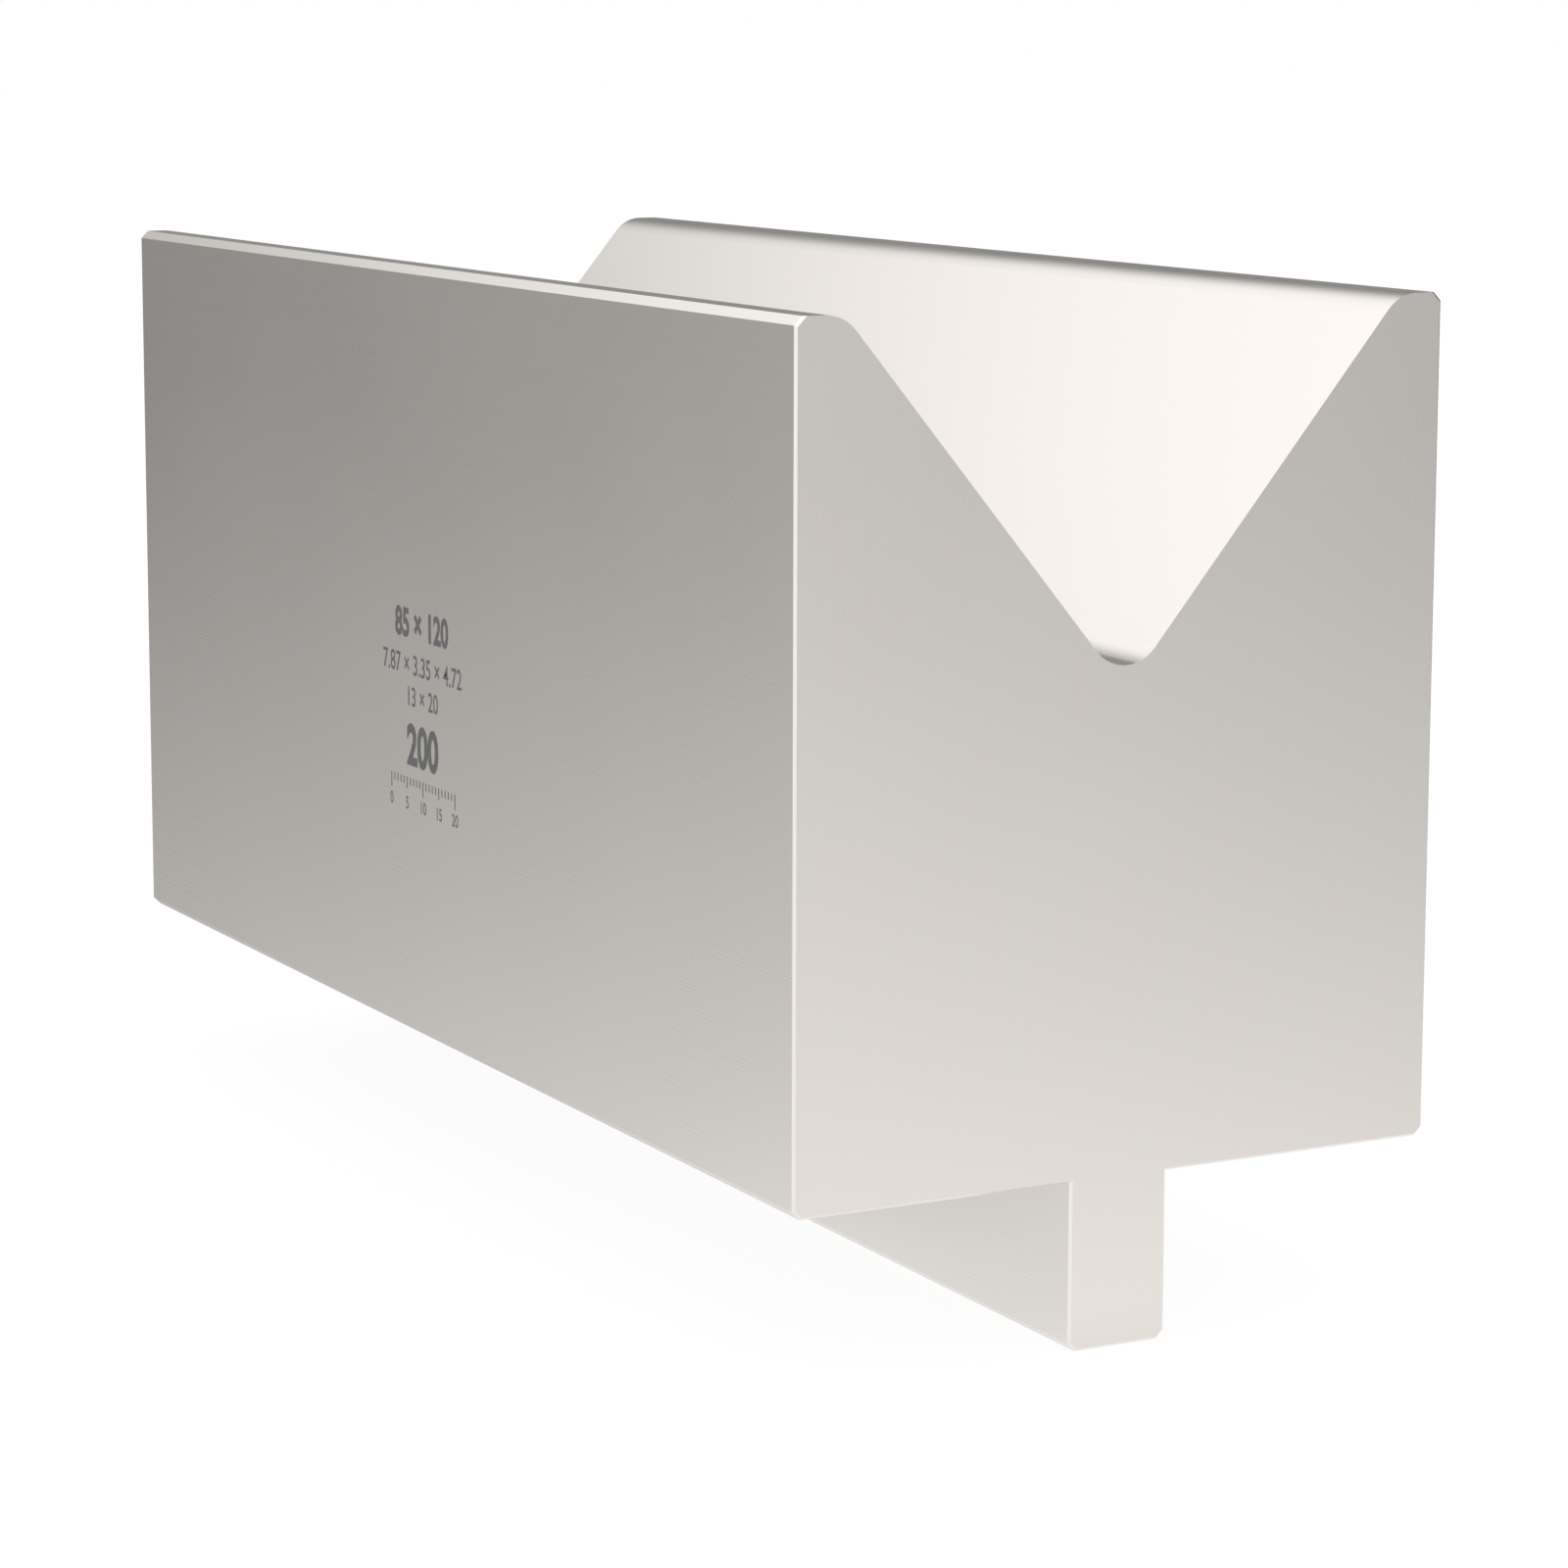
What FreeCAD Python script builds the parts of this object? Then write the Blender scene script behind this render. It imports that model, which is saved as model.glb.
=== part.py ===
import FreeCAD, Part
import enum
import os

import Sketcher

# Press brake V die: one bar of tool steel, ground on every face, with a V groove along its top and a tang
# below.
#
# X runs along the die, Y across it and Z up. The die is modelled about its seat, the level that its working
# height is measured from, with the tang below it. Its Placement then lifts it by the depth of the tang, so that
# it stands on Z = 0 with the origin at the middle of the tang's foot.

NODE = "v_die"

# The driving dimensions, in millimetres and degrees. Every feature below is bound to these cells.
DIMENSIONS = [
    ("die_length", 200.0, "length of the die"),
    ("die_height", 100.0, "working height, from the seat up to the lands beside the groove"),
    ("groove_opening", 70.0, "V opening, between the lines where the flanks run into the shoulder radii"),
    ("groove_angle", 80.0, "angle between the two flanks of the groove"),
    ("groove_bottom_radius", 5.0, "radius along the bottom of the groove"),
    ("shoulder_radius", 5.0, "radius of the two shoulders that the sheet slides over"),
    ("shoulder_width", 7.5, "from the edge of the V opening out to the side of the block"),
    ("tang_width", 13.0, "thickness of the tang that the die holder clamps"),
    ("tang_depth", 20.0, "depth of the tang below the seat"),
    ("block_edge_break", 1.0, "chamfer along the four outer edges of the block"),
    ("tang_edge_break", 1.0, "chamfer along the two edges of the tang's foot"),
    ("end_edge_break", 0.3, "chamfer round the end faces, from one land down and round to the other"),
]


def length(name):
    """The expression for a length in the sheet, whose cells hold plain numbers."""
    return f"Dimensions.{name} * 1 mm"


BLOCK_WIDTH = f"{length('groove_opening')} + 2 * {length('shoulder_width')}"
GROOVE_ANGLE = "Dimensions.groove_angle * 1 deg"

# The groove is cut with sharp shoulders, which are rounded after. A radius reaches back along the flank by
# R * tan(turn / 2), where the turn from flank to land is a right angle less half the groove's angle. So the
# mouth of the cut is wider than the V opening by that much, seen from above, on each side.
GROOVE_MOUTH = (
    f"{length('groove_opening')}"
    f" + 2 * {length('shoulder_radius')} * tan((90 deg - {GROOVE_ANGLE} / 2) / 2) * sin({GROOVE_ANGLE} / 2)"
)

# Coordinates and volumes closer than this count as the same, in millimetres and cubic millimetres.
SAME = 1e-4


def make_sheet(doc):
    """The spreadsheet of driving dimensions, one to a row: name, value and meaning."""
    sheet = doc.addObject("Spreadsheet::Sheet", "Dimensions")
    for row, (name, value, meaning) in enumerate(DIMENSIONS, start=1):
        sheet.set(f"A{row}", name)
        sheet.set(f"B{row}", str(value))
        sheet.set(f"C{row}", meaning)
        sheet.setAlias(f"B{row}", name)
    doc.recompute()


def value_of(body, expression):
    """What an expression comes to now, in millimetres or degrees."""
    return body.evalExpression(expression).Value


# ------------------------------------------------------------------------------------------- sketches


def section_sketch(body, name):
    """An empty sketch across the middle of the die: its X is the die's Y, and its Y is the die's Z."""
    sketch = body.newObject("Sketcher::SketchObject", name)
    cross_plane = next(feature for feature in body.Origin.OriginFeatures if feature.Role == "YZ_Plane")
    sketch.AttachmentSupport = [(cross_plane, "")]
    sketch.MapMode = "FlatFace"
    return sketch


class Axis(enum.IntEnum):
    """A sketch's own axes, by the numbers that constraints know them by."""

    HORIZONTAL = -1
    VERTICAL = -2


def start(line):
    """The point that a line starts at, as a constraint names it. The horizontal axis starts at the origin."""
    return line, 1


def end(line):
    """The point that a line ends at, as a constraint names it."""
    return line, 2


def draw_loop(sketch, corners):
    """Straight lines from corner to corner and back to the first, each joined to the next."""
    lines = []
    for corner, following in zip(corners, corners[1:] + corners[:1]):
        line = Part.LineSegment(FreeCAD.Vector(*corner), FreeCAD.Vector(*following))
        lines.append(sketch.addGeometry(line))
    for line, following in zip(lines, lines[1:] + lines[:1]):
        sketch.addConstraint(Sketcher.Constraint("Coincident", *end(line), *start(following)))
    return lines


def centre(sketch, line):
    """Sets a line's two ends evenly about the middle of the die, which also keeps the line level."""
    sketch.addConstraint(Sketcher.Constraint("Symmetric", *start(line), *end(line), Axis.VERTICAL))


def dimension(sketch, name, kind, first, second, expression):
    """A named dimension from one end of a line to another, bound to the sheet."""
    value = sketch.evalExpression(expression)
    index = sketch.addConstraint(Sketcher.Constraint(kind, *first, *second, value))
    sketch.renameConstraint(index, name)
    sketch.setExpression(f"Constraints.{name}", expression)


def bar_section(body, name, width, height, upwards):
    """A centred rectangle that has one edge on the seat, and stands on it or hangs from it."""
    sketch = section_sketch(body, name)
    side = value_of(body, width) / 2
    far = value_of(body, height) if upwards else -value_of(body, height)
    seat_line, rise, far_line, _ = draw_loop(sketch, [(-side, 0), (side, 0), (side, far), (-side, far)])
    sketch.addConstraint(Sketcher.Constraint("PointOnObject", *start(seat_line), Axis.HORIZONTAL))
    sketch.addConstraint(Sketcher.Constraint("Vertical", rise))
    centre(sketch, seat_line)
    centre(sketch, far_line)
    low, high = (start(rise), end(rise)) if upwards else (end(rise), start(rise))
    dimension(sketch, "width", "DistanceX", start(seat_line), end(seat_line), width)
    dimension(sketch, "height", "DistanceY", low, high, height)
    return sketch


def groove_section(body, name):
    """A triangle on its point: its level edge lies across the block's top, and the others are the flanks."""
    sketch = section_sketch(body, name)
    side = value_of(body, GROOVE_MOUTH) / 2
    top = value_of(body, length("die_height"))
    mouth, falling, rising = draw_loop(sketch, [(side, top), (-side, top), (0, top - side)])
    centre(sketch, mouth)
    sketch.addConstraint(Sketcher.Constraint("PointOnObject", *start(rising), Axis.VERTICAL))
    dimension(sketch, "top", "DistanceY", start(Axis.HORIZONTAL), start(mouth), length("die_height"))
    dimension(sketch, "mouth", "DistanceX", end(mouth), start(mouth), GROOVE_MOUTH)
    dimension(sketch, "angle", "Angle", start(rising), end(falling), GROOVE_ANGLE)
    return sketch


# ------------------------------------------------------------------------------------------- features


def pad_full_length(body, name, sketch):
    """Pads a section by the length of the die, half of it to each side."""
    pad = body.newObject("PartDesign::Pad", name)
    pad.Profile = sketch
    pad.SideType = "Symmetric"
    pad.setExpression("Length", length("die_length"))
    body.Document.recompute()


def cut_full_length(body, name, sketch):
    """Cuts a section out of everything on both sides of it."""
    pocket = body.newObject("PartDesign::Pocket", name)
    pocket.Profile = sketch
    pocket.SideType = "Symmetric"
    pocket.Type = "ThroughAll"
    body.Document.recompute()


def find_edges(body, lengthwise, lies):
    """Names of edges of the body as it is so far: of those that run along the die, or of those round its end
    faces, the ones where lies(y, z) holds for the middle of the edge."""
    return [
        f"Edge{number}"
        for number, edge in enumerate(body.Tip.Shape.Edges, start=1)
        if (edge.BoundBox.XLength > SAME) == lengthwise and lies(edge.CenterOfMass.y, edge.CenterOfMass.z)
    ]


def dress_edges(body, kind, name, edges, size):
    """Rounds edges of the body as it is so far, as a Fillet, or breaks them evenly, as a Chamfer."""
    base = body.Tip
    dressing = body.newObject(f"PartDesign::{kind}", name)
    dressing.Base = (base, edges)
    dressing.setExpression({"Fillet": "Radius", "Chamfer": "Size"}[kind], size)
    body.Document.recompute()


# ------------------------------------------------------------------------------------------- the die


def make_die(doc):
    """The whole die, in the order that one is made: bar, groove, working radii, then the broken edges."""
    body = doc.addObject("PartDesign::Body", NODE)
    body.Label = NODE
    body.setExpression("Placement.Base.z", length("tang_depth"))

    block = bar_section(body, "block_section", BLOCK_WIDTH, length("die_height"), upwards=True)
    pad_full_length(body, "block", block)
    tang = bar_section(body, "tang_section", length("tang_width"), length("tang_depth"), upwards=False)
    pad_full_length(body, "tang", tang)
    cut_full_length(body, "groove", groove_section(body, "groove_section"))

    seat = 0
    top = value_of(body, length("die_height"))
    foot = -value_of(body, length("tang_depth"))
    side = value_of(body, BLOCK_WIDTH) / 2
    side_break = value_of(body, length("block_edge_break"))

    # The groove's point is the one long edge on the middle plane. The shoulders are those inside the top.
    point = find_edges(body, True, lambda y, z: abs(y) < SAME)
    dress_edges(body, "Fillet", "groove_bottom", point, length("groove_bottom_radius"))
    shoulders = find_edges(body, True, lambda y, z: z > top - SAME and abs(y) < side - SAME)
    dress_edges(body, "Fillet", "shoulders", shoulders, length("shoulder_radius"))

    block_edges = find_edges(body, True, lambda y, z: abs(y) > side - SAME)
    dress_edges(body, "Chamfer", "block_edge_breaks", block_edges, length("block_edge_break"))
    tang_edges = find_edges(body, True, lambda y, z: z < foot + SAME)
    dress_edges(body, "Chamfer", "tang_edge_breaks", tang_edges, length("tang_edge_break"))

    # The groove and the lands keep their sharp ends, so that dies set end to end leave no mark on the sheet.
    outline = find_edges(body, False, lambda y, z: z < seat + SAME or abs(y) > side - side_break)
    dress_edges(body, "Chamfer", "end_edge_breaks", outline, length("end_edge_break"))
    return body


def check(doc, body):
    """Stops with an error unless every object is sound and every feature changed the solid."""
    failed = [thing.Label for thing in doc.Objects if {"Invalid", "Error"} & set(thing.State)]
    if failed:
        raise RuntimeError(f"failed to recompute: {', '.join(failed)}")
    volume = 0.0
    for feature in body.Group:
        if not feature.isDerivedFrom("PartDesign::Feature"):
            continue
        if abs(feature.Shape.Volume - volume) < SAME:
            raise RuntimeError(f"{feature.Label} left the solid as it was")
        volume = feature.Shape.Volume
    if body.Shape.isNull() or not body.Shape.isValid() or len(body.Shape.Solids) != 1:
        raise RuntimeError(f"{body.Label} is not one sound solid")


def main():
    doc = FreeCAD.newDocument("press_brake_v_die")
    make_sheet(doc)
    die = make_die(doc)
    doc.recompute()
    check(doc, die)
    os.makedirs("parts", exist_ok=True)
    die.Shape.exportStep(f"parts/{die.Label}.step")


main()
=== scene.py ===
import math

import bmesh
import bpy
from mathutils import Matrix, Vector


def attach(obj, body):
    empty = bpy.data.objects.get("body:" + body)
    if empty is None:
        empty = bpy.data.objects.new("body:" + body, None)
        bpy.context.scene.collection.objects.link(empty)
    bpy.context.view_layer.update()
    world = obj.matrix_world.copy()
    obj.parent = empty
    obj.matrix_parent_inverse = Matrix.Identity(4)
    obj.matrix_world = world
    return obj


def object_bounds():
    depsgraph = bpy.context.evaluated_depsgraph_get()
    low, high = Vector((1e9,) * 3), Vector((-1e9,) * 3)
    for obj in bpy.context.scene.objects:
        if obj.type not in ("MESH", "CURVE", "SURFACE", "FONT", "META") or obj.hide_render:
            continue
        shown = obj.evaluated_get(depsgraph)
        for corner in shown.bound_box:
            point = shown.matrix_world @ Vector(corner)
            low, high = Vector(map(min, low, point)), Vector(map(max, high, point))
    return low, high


# The looks of the press brake V die: the finish of its ground steel, the figures marked on its front side, and
# the studio that it stands in. Everything is in metres and in the frame of the CAD: X along the die, Y across
# it, and Z up from the tang's foot.

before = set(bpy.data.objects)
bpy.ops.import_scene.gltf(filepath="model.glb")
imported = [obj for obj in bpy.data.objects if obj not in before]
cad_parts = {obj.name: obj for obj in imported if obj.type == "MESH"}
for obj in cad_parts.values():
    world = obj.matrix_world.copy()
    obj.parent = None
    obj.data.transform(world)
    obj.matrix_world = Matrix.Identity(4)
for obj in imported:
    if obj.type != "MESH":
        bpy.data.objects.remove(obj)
cad_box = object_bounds()

MM = 0.001
INCH = 25.4 * MM

DIE = "v_die"
FLOOR = cad_box[0].z
LANDS = cad_box[1].z
MIDDLE = (cad_box[0] + cad_box[1]) / 2
LENGTH, WIDTH, HEIGHT = cad_box[1] - cad_box[0]
TANG_WIDTH = 13 * MM
TANG_DEPTH = 20 * MM

# The groove. Its flanks, carried on up past the shoulder radii to the level of the lands, end at the mouth, and
# carried on down past the bottom radius they meet at the point.
HALF_ANGLE = math.radians(80) / 2
SHOULDER_RADIUS = 5 * MM
BOTTOM_RADIUS = 5 * MM
HALF_OPENING = 35 * MM
HALF_MOUTH = HALF_OPENING + SHOULDER_RADIUS * math.tan((math.pi / 2 - HALF_ANGLE) / 2) * math.sin(HALF_ANGLE)
GROOVE_POINT = LANDS - HALF_MOUTH / math.tan(HALF_ANGLE)
GROOVE_BOTTOM = GROOVE_POINT + BOTTOM_RADIUS * (1 / math.sin(HALF_ANGLE) - 1)


# ------------------------------------------------------------------------------------------- node trees


class Tree:
    """A node tree that is written as calls: each adds one node and wires or fills in the inputs it is given."""

    def __init__(self, owner):
        owner.use_nodes = True
        self.nodes = owner.node_tree.nodes
        self.links = owner.node_tree.links
        self.nodes.clear()

    def add(self, kind, inputs, **settings):
        made = self.nodes.new(kind)
        for name, value in settings.items():
            setattr(made, name, value)
        for name, value in inputs.items():
            if isinstance(value, bpy.types.NodeSocket):
                self.links.new(value, made.inputs[name])
            else:
                made.inputs[name].default_value = value
        return made

    def math(self, operation, *operands):
        made = self.add("ShaderNodeMath", dict(enumerate(operands)), operation=operation)
        return made.outputs["Value"]

    def vector(self, operation, *operands):
        made = self.add("ShaderNodeVectorMath", dict(enumerate(operands)), operation=operation)
        return made.outputs["Value" if operation in ("DOT_PRODUCT", "LENGTH") else "Vector"]

    def parts(self, vector):
        """The X, Y and Z of a vector."""
        return self.add("ShaderNodeSeparateXYZ", {0: vector}).outputs

    def rise(self, value, low, high):
        """0 up to the low value, 1 from the high one, and a smooth rise between them. Where low is above high,
        it falls instead."""
        inputs = {"Value": value, "From Min": low, "From Max": high}
        made = self.add("ShaderNodeMapRange", inputs, interpolation_type="SMOOTHSTEP")
        return made.outputs["Result"]

    def spread(self, share, low, high):
        """The value that lies a share of the way from low to high."""
        return self.add("ShaderNodeMix", {0: share, 2: low, 3: high}).outputs[0]

    def noise(self, vector, detail):
        return self.add("ShaderNodeTexNoise", {"Vector": vector, "Scale": 1.0, "Detail": detail}).outputs["Fac"]

    def mix(self, share, first, second):
        return self.add("ShaderNodeMixShader", {0: share, 1: first, 2: second}).outputs["Shader"]

    def background_rays(self):
        """1 for the rays that show the white background: those of the camera, and those off metal or through
        glass. 0 for the rays that carry light to plain surfaces."""
        path = self.add("ShaderNodeLightPath", {}).outputs
        seen = self.math("MAXIMUM", path["Is Camera Ray"], path["Is Glossy Ray"])
        return self.math("MAXIMUM", seen, path["Is Transmission Ray"])


# ------------------------------------------------------------------------------------------- materials

# Satin steel, slightly warm.
STEEL = (0.80, 0.762, 0.722)
STEEL_ROUGHNESS = 0.28

# The marks of the grinding wheel, and the faint patches that handling leaves.
LAY_LENGTH = 60 * MM
LAY_WIDTH = 0.16 * MM
LAY_DEPTH = 0.0003 * MM
PATCH_SIZE = 35 * MM

# Edges are rubbed smoother, and lightened in colour as a painted highlight, over this width.
WEAR_AND_HIGHLIGHT_WIDTH = 0.2 * MM

# Painted shade darkens a line along the bottom of the groove, up to these heights above its lowest level.
GROOVE_SHADE_FULL = 0.05 * MM
GROOVE_SHADE_NONE = 0.40 * MM


def ground_steel():
    """Satin steel from a surface grinder: a fine lay, faint patches, edges that are rubbed smoother and carry a
    painted highlight, and painted shade along the bottom of the groove, where the steel is also rougher."""
    material = bpy.data.materials.new("ground_steel")
    tree = Tree(material)
    place = tree.add("ShaderNodeTexCoord", {}).outputs
    normal = tree.parts(place["Normal"])

    # How far a surface is turned towards an end of the die: 0 along the die, about 0.7 on the narrow breaks
    # round the end faces, and 1 on the end faces.
    endwards = tree.math("ABSOLUTE", normal["X"])
    on_end = tree.rise(endwards, 0.85, 0.95)
    on_break = tree.math("SUBTRACT", tree.rise(endwards, 0.3, 0.5), on_end)

    # The lay runs along the die, and upright on the end faces.
    along, across = 1 / LAY_LENGTH, 1 / LAY_WIDTH
    inputs = {"Factor": on_end, 4: (along, across, across), 5: (across, across, along)}
    stretch = tree.add("ShaderNodeMix", inputs, data_type="VECTOR").outputs[1]
    lay = tree.noise(tree.vector("MULTIPLY", place["Object"], stretch), detail=3)
    patches = tree.noise(tree.vector("MULTIPLY", place["Object"], (1 / PATCH_SIZE,) * 3), detail=2)

    # An edge is near where the normal of the same surface with rounded edges would differ from its own.
    rounded = tree.add("ShaderNodeBevel", {"Radius": WEAR_AND_HIGHLIGHT_WIDTH}, samples=4).outputs["Normal"]
    own = tree.add("ShaderNodeNewGeometry", {}).outputs["Normal"]
    by_edge = tree.rise(tree.vector("DOT_PRODUCT", rounded, own), 0.99, 0.80)
    # The breaks and the other edges are rubbed smoother, and lightened in colour as a painted highlight.
    worn_and_highlit = tree.math("MAXIMUM", on_break, by_edge)

    # Painted shade: a dark line along the bottom of the groove, where the steel is also rougher.
    height = tree.parts(place["Object"])["Z"]
    low = tree.rise(height, GROOVE_BOTTOM + GROOVE_SHADE_NONE, GROOVE_BOTTOM + GROOVE_SHADE_FULL)
    groove_shade = tree.math("MULTIPLY", low, tree.rise(normal["Z"], 0.3, 0.6))

    # Each of them scales the colour of clean steel, and adds to its roughness.
    tone = tree.spread(lay, 0.99, 1.01)
    tone = tree.math("MULTIPLY", tone, tree.spread(patches, 0.985, 1.015))
    # Lighter on the rubbed edges and breaks: a painted highlight.
    tone = tree.math("MULTIPLY", tone, tree.spread(worn_and_highlit, 1.0, 1.10))
    # Darker along the bottom of the groove: painted shade.
    tone = tree.math("MULTIPLY", tone, tree.spread(groove_shade, 1.0, 0.3))
    colour = tree.add("ShaderNodeVectorMath", {0: STEEL, "Scale": tone}, operation="SCALE").outputs["Vector"]

    roughness = tree.math("ADD", STEEL_ROUGHNESS, tree.spread(lay, -0.02, 0.02))
    roughness = tree.math("ADD", roughness, tree.spread(patches, -0.02, 0.02))
    roughness = tree.math("ADD", roughness, tree.spread(worn_and_highlit, 0.0, -0.06))
    roughness = tree.math("ADD", roughness, tree.spread(groove_shade, 0.0, 0.15))

    bump = {"Height": lay, "Strength": 1.0, "Distance": LAY_DEPTH}
    relief = tree.add("ShaderNodeBump", bump).outputs["Normal"]
    surface = {"Base Color": colour, "Metallic": 1.0, "Roughness": roughness, "Normal": relief}
    steel = tree.add("ShaderNodeBsdfPrincipled", surface)
    tree.add("ShaderNodeOutputMaterial", {"Surface": steel.outputs["BSDF"]})
    return material


SPECKLE_SIZE = 0.3 * MM
SPECKLE_DEPTH = 0.003 * MM


def laser_mark():
    """Steel darkened by a marking laser: a matte oxide skin, a little uneven."""
    material = bpy.data.materials.new("laser_mark")
    tree = Tree(material)
    place = tree.add("ShaderNodeTexCoord", {}).outputs["Object"]
    speckle = tree.noise(tree.vector("MULTIPLY", place, (1 / SPECKLE_SIZE,) * 3), detail=3)
    blotch = tree.rise(speckle, 0.3, 0.7)
    shade = tree.spread(blotch, 0.08, 0.13)
    colour = tree.add("ShaderNodeCombineColor", {"Red": shade, "Green": shade, "Blue": shade}).outputs["Color"]
    bump = {"Height": speckle, "Strength": 1.0, "Distance": SPECKLE_DEPTH}
    relief = tree.add("ShaderNodeBump", bump).outputs["Normal"]
    roughness = tree.spread(blotch, 0.5, 0.7)
    surface = {"Base Color": colour, "Roughness": roughness, "Normal": relief}
    oxide = tree.add("ShaderNodeBsdfPrincipled", surface)
    tree.add("ShaderNodeOutputMaterial", {"Surface": oxide.outputs["BSDF"]})
    return material


# ------------------------------------------------------------------------------------------- figures

# The marked figures are plain sizes: rows of numbers, and a short scale. They read along X and are centred on
# the middle of the front side. Their mesh is this thick, and half of it lies inside the steel.
MARK_THICKNESS = 0.02 * MM

# The figures are narrower than the font draws them. Their strokes are thickened by these shares of its size.
NARROWING = 0.9
REGULAR = 0.008
BOLD = 0.035

# The scale counts whole millimetres. Its ticks hang from its level, and its numbers stand below them.
SCALE_LENGTH = 20
SCALE_LEVEL = 53.8 * MM
NUMBER_LEVEL = 49.6 * MM
NUMBER_HEIGHT = 1.6 * MM
NUMBERED_STEP = 5
TICK_WIDTH = 0.26 * MM
SHORT_TICK = 1.0 * MM
MIDDLE_TICK = 1.5 * MM
LONG_TICK = 2.0 * MM


def whole(*lengths):
    """Lengths in whole millimetres, as marked on the die."""
    return " × ".join(f"{length / MM:.0f}" for length in lengths)


def inches(*lengths):
    """Lengths in inches, as marked on the die."""
    return " × ".join(f"{length / INCH:.2f}" for length in lengths)


def number_mesh(text, height, boldness):
    """A row of figures as a thin closed mesh in the XY plane, centred on X and standing on Y = 0."""
    curve = bpy.data.curves.new("figures", "FONT")
    curve.body = text
    curve.align_x = "CENTER"
    curve.offset = boldness
    curve.extrude = 0.5
    holder = bpy.data.objects.new("figures", curve)
    bpy.context.scene.collection.objects.link(holder)
    mesh = bpy.data.meshes.new_from_object(holder.evaluated_get(bpy.context.evaluated_depsgraph_get()))
    bpy.data.objects.remove(holder)
    bpy.data.curves.remove(curve)
    size = height / max(vertex.co.y for vertex in mesh.vertices)
    mesh.transform(Matrix.Diagonal((size * NARROWING, size, MARK_THICKNESS, 1)))
    return mesh


def add_row(block, text, height, level, x=0.0, boldness=REGULAR):
    """Adds a row of figures to the block, centred at x and standing on a level, in metres."""
    mesh = number_mesh(text, height, boldness)
    mesh.transform(Matrix.Translation((x, level, 0)))
    block.from_mesh(mesh)
    bpy.data.meshes.remove(mesh)


def tick_length(step):
    """Ticks are longer at each numbered step, and longest at every second one."""
    if step % (2 * NUMBERED_STEP) == 0:
        return LONG_TICK
    if step % NUMBERED_STEP == 0:
        return MIDDLE_TICK
    return SHORT_TICK


def add_scale(block):
    """Adds the scale to the block, its ticks from left to right."""
    for step in range(SCALE_LENGTH + 1):
        x = (step - SCALE_LENGTH / 2) * MM
        drop = tick_length(step)
        place = Matrix.Translation((x, SCALE_LEVEL - drop / 2, 0))
        size = Matrix.Diagonal((TICK_WIDTH, drop, MARK_THICKNESS, 1))
        bmesh.ops.create_cube(block, size=1, matrix=place @ size)
        if step % NUMBERED_STEP == 0:
            add_row(block, str(step), NUMBER_HEIGHT, NUMBER_LEVEL, x=x)


def add_figures(material):
    """Every row of figures and the scale, as one piece on the front side. A row is its text, its height and the
    level that it stands on."""
    block = bmesh.new()
    add_row(block, whole(WIDTH, HEIGHT), 3.7 * MM, 72.3 * MM, boldness=BOLD)
    add_row(block, inches(LENGTH, WIDTH, HEIGHT), 2.6 * MM, 67.4 * MM)
    add_row(block, whole(TANG_WIDTH, TANG_DEPTH), 2.5 * MM, 63.3 * MM)
    add_row(block, whole(LENGTH), 5.3 * MM, 55.7 * MM, boldness=BOLD)
    add_scale(block)

    mesh = bpy.data.meshes.new("size_figures")
    block.to_mesh(mesh)
    block.free()
    mesh.transform(Matrix.Translation((MIDDLE.x, cad_box[0].y, 0)) @ Matrix.Rotation(math.radians(90), 4, "X"))
    mesh.materials.append(material)
    piece = bpy.data.objects.new("size_figures", mesh)
    bpy.context.scene.collection.objects.link(piece)
    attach(piece, "root")


# ------------------------------------------------------------------------------------------- studio

# A lamp twice as wide as the tent adds this radiance to the white overhead.
SOFTBOX_RADIANCE = 0.30
SOFTBOX_SIDE = 4.8
SOFTBOX_HEIGHT = 1.2

# The floor's colour. The background's rays see part of its light and shadow over a plain glow.
FLOOR_HALF_SIDE = 6
FLOOR_COLOUR = (0.8, 0.8, 0.8, 1)
SHADOW_COLOUR = (0.08, 0.08, 0.08, 1)
FLOOR_GLOW = 0.93

# The tent is a floor sheet and a round wall that only gloss shows. Its gap keeps it clear of the floor.
TENT_RADIUS = 1.2
TENT_HEIGHT = 1.5
TENT_STEPS = 96
TENT_GAP = 0.05 * MM

# Its glow changes evenly with each doubling of the distance from the die, from the near glow at the start to
# the far glow on the wall. The near glow is lower by its shade towards the shady side, and higher away from it.
# The far glow does so with the dark side, down to a darkest value. The die shades the sheet beneath it.
SHADY_SIDE = 226
NEAR_START = 0.054
NEAR_GLOW = 0.91
NEAR_SHADE = 0.22
BENEATH = 0.85
DARK_SIDE = 130
FAR_GLOW = 0.46
FAR_SHADE = 0.58
DARKEST = 0.15

# The wall thins out upwards until it is clear, over this height each side of a middle level. The level is
# higher on the dark side.
THINNING = 0.4
THINNING_LEVEL = 0.425
DARK_THINNING_LEVEL = 1.06

# The camera's place, and its angles in degrees.
CAMERA_PLACE = (0.52922, -0.27593, 0.15455)
CAMERA_AZIMUTH = 63.21
CAMERA_ELEVATION = 8.63
CAMERA_ROLL = -0.1


def compass(degrees):
    """A level direction, by its angle from the X axis towards Y."""
    return (math.cos(math.radians(degrees)), math.sin(math.radians(degrees)), 0)


def add_world():
    """Plain white all round."""
    world = bpy.data.worlds.new("studio")
    bpy.context.scene.world = world
    tree = Tree(world)
    white = tree.add("ShaderNodeBackground", {"Color": (1, 1, 1, 1), "Strength": 1.0}).outputs["Background"]
    tree.add("ShaderNodeOutputWorld", {"Surface": white})


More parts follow.
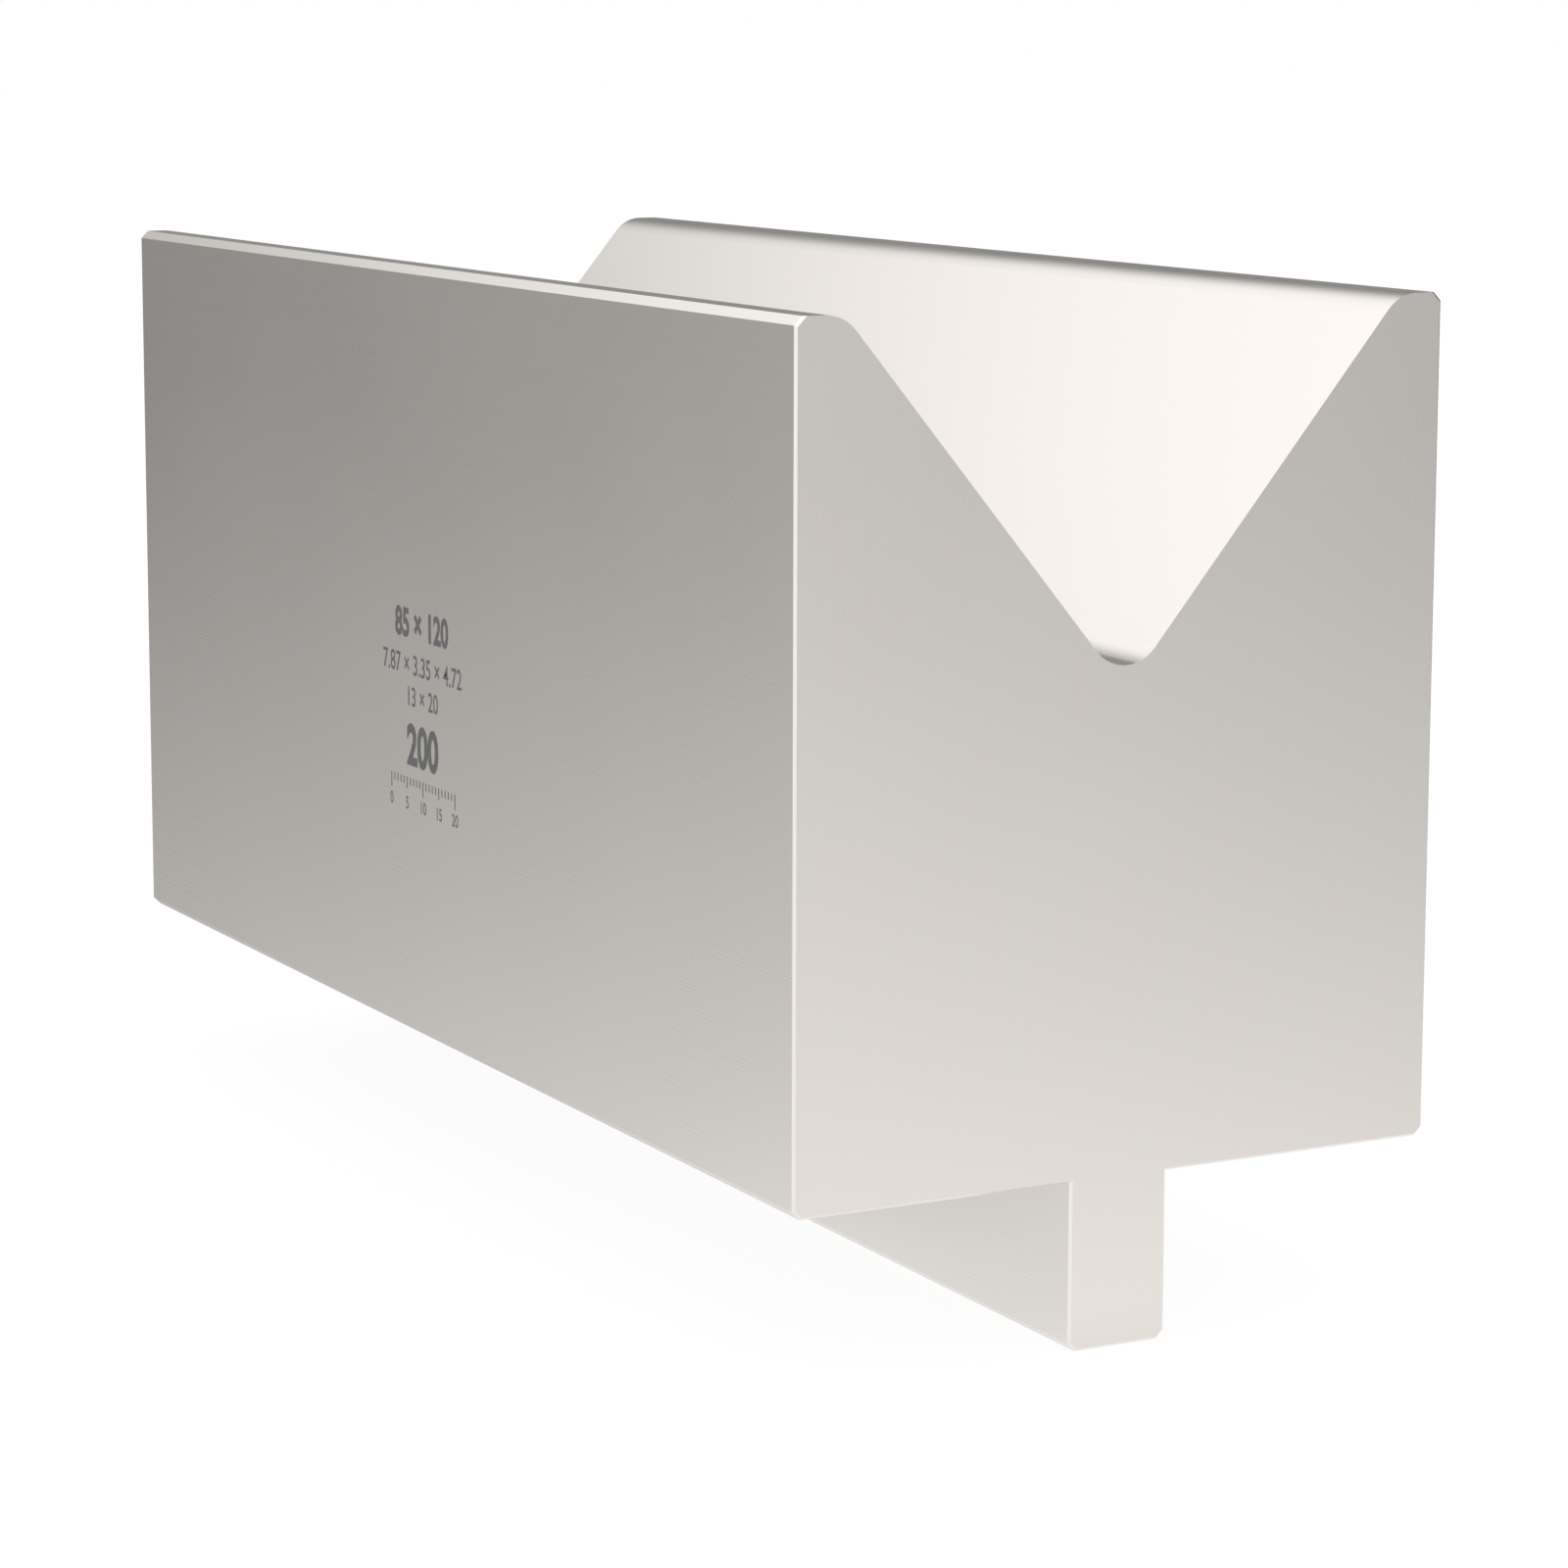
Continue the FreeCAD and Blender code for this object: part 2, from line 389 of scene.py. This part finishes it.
def floor_material():
    """Pale floor. The background's rays see it as white with a faint shadow, and nothing of it from below."""
    material = bpy.data.materials.new("floor")
    tree = Tree(material)
    plain = tree.add("ShaderNodeBsdfDiffuse", {"Color": FLOOR_COLOUR}).outputs["BSDF"]
    shaded = tree.add("ShaderNodeBsdfDiffuse", {"Color": SHADOW_COLOUR}).outputs["BSDF"]
    glow = tree.add("ShaderNodeEmission", {"Color": (1, 1, 1, 1), "Strength": FLOOR_GLOW}).outputs["Emission"]
    seen = tree.add("ShaderNodeAddShader", {0: shaded, 1: glow}).outputs["Shader"]
    top = tree.mix(tree.background_rays(), plain, seen)
    clear = tree.add("ShaderNodeBsdfTransparent", {}).outputs["BSDF"]
    below = tree.add("ShaderNodeNewGeometry", {}).outputs["Backfacing"]
    tree.add("ShaderNodeOutputMaterial", {"Surface": tree.mix(below, top, clear)})
    return material


def add_floor():
    mesh = bpy.data.meshes.new("floor")
    side = FLOOR_HALF_SIDE
    corners = [(-side, -side, 0), (side, -side, 0), (side, side, 0), (-side, side, 0)]
    mesh.from_pydata(corners, [], [(0, 1, 2, 3)])
    mesh.materials.append(floor_material())
    floor = bpy.data.objects.new("floor", mesh)
    floor.location.z = FLOOR
    bpy.context.scene.collection.objects.link(floor)


def tent_material():
    """Glowing cloth, shaded by distance and by side, that thins out up the wall."""
    material = bpy.data.materials.new("light_tent")
    tree = Tree(material)
    place = tree.add("ShaderNodeTexCoord", {}).outputs["Object"]
    level = tree.vector("MULTIPLY", place, (1, 1, 0))
    outwards = tree.vector("NORMALIZE", level)
    dark = tree.vector("DOT_PRODUCT", outwards, compass(DARK_SIDE))
    shady = tree.vector("DOT_PRODUCT", outwards, compass(SHADY_SIDE))

    aside = tree.vector("ABSOLUTE", place)
    beneath = tree.math(
        "MULTIPLY",
        tree.rise(tree.parts(aside)["X"], 0.6 * LENGTH, 0.4 * LENGTH),
        tree.rise(tree.parts(aside)["Y"], 0.8 * WIDTH, 0.3 * WIDTH),
    )
    near = tree.math("MULTIPLY_ADD", shady, -NEAR_SHADE, NEAR_GLOW)
    near = tree.math("MULTIPLY", near, tree.spread(beneath, 1.0, BENEATH))
    far = tree.math("MAXIMUM", tree.math("MULTIPLY_ADD", dark, -FAR_SHADE, FAR_GLOW), DARKEST)
    reach = tree.math("DIVIDE", tree.vector("LENGTH", level), NEAR_START)
    share = tree.math("DIVIDE", tree.math("LOGARITHM", reach, math.e), math.log(TENT_RADIUS / NEAR_START))
    share = tree.math("MINIMUM", tree.math("MAXIMUM", share, 0.0), 1.0)
    glow = tree.add("ShaderNodeEmission", {"Strength": tree.spread(share, near, far)}).outputs["Emission"]

    middle = tree.spread(tree.rise(dark, 0.30, 1.12), THINNING_LEVEL, DARK_THINNING_LEVEL)
    above = tree.math("SUBTRACT", tree.parts(place)["Z"], middle)
    clear = tree.add("ShaderNodeBsdfTransparent", {}).outputs["BSDF"]
    thin = tree.rise(above, -THINNING, THINNING)
    tree.add("ShaderNodeOutputMaterial", {"Surface": tree.mix(thin, glow, clear)})
    material.cycles.emission_sampling = "NONE"
    return material


def add_tent():
    """The tent, turned from a profile of three points: middle, foot of the wall and top of the wall."""
    mesh = bpy.data.meshes.new("light_tent")
    profile = [(0.0, FLOOR + TENT_GAP), (TENT_RADIUS, FLOOR + TENT_GAP), (TENT_RADIUS, FLOOR + TENT_HEIGHT)]
    points = []
    faces = []
    size = len(profile)
    for step in range(TENT_STEPS):
        turn = 2 * math.pi * step / TENT_STEPS
        points += [(reach * math.cos(turn), reach * math.sin(turn), level) for reach, level in profile]
        here, after = size * step, size * ((step + 1) % TENT_STEPS)
        faces += [(here + part, here + part + 1, after + part + 1, after + part) for part in range(size - 1)]
    mesh.from_pydata(points, [], faces)
    mesh.materials.append(tent_material())
    tent = bpy.data.objects.new("light_tent", mesh)
    tent.visible_camera = False
    tent.visible_diffuse = False
    tent.visible_shadow = False
    bpy.context.scene.collection.objects.link(tent)


def add_softbox():
    """A square lamp overhead that faces down. Its power follows from its radiance and its area."""
    light = bpy.data.lights.new("softbox", "AREA")
    light.shape = "SQUARE"
    light.size = SOFTBOX_SIDE
    light.energy = SOFTBOX_RADIANCE * math.pi * SOFTBOX_SIDE**2
    lamp = bpy.data.objects.new("softbox", light)
    lamp.location = (MIDDLE.x, MIDDLE.y, FLOOR + SOFTBOX_HEIGHT)
    lamp.visible_camera = False
    bpy.context.scene.collection.objects.link(lamp)


def add_camera():
    """From the right of the front side, a little above the die. The shifts frame it in the middle."""
    data = bpy.data.cameras.new("camera")
    data.sensor_width = 36
    data.lens = 104.53
    data.shift_x = 0.0811
    data.shift_y = -0.0653
    camera = bpy.data.objects.new("camera", data)
    place = Matrix.Translation(CAMERA_PLACE)
    heading = Matrix.Rotation(math.radians(CAMERA_AZIMUTH), 4, "Z")
    tilt = Matrix.Rotation(math.radians(90 - CAMERA_ELEVATION), 4, "X")
    camera.matrix_world = place @ heading @ tilt @ Matrix.Rotation(math.radians(CAMERA_ROLL), 4, "Z")
    bpy.context.scene.collection.objects.link(camera)
    bpy.context.scene.camera = camera


def main():
    bpy.context.scene.view_settings.view_transform = "Standard"
    add_world()
    add_floor()
    add_tent()
    add_softbox()
    add_camera()
    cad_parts[DIE].material_slots[0].material = ground_steel()
    add_figures(laser_mark())


main()
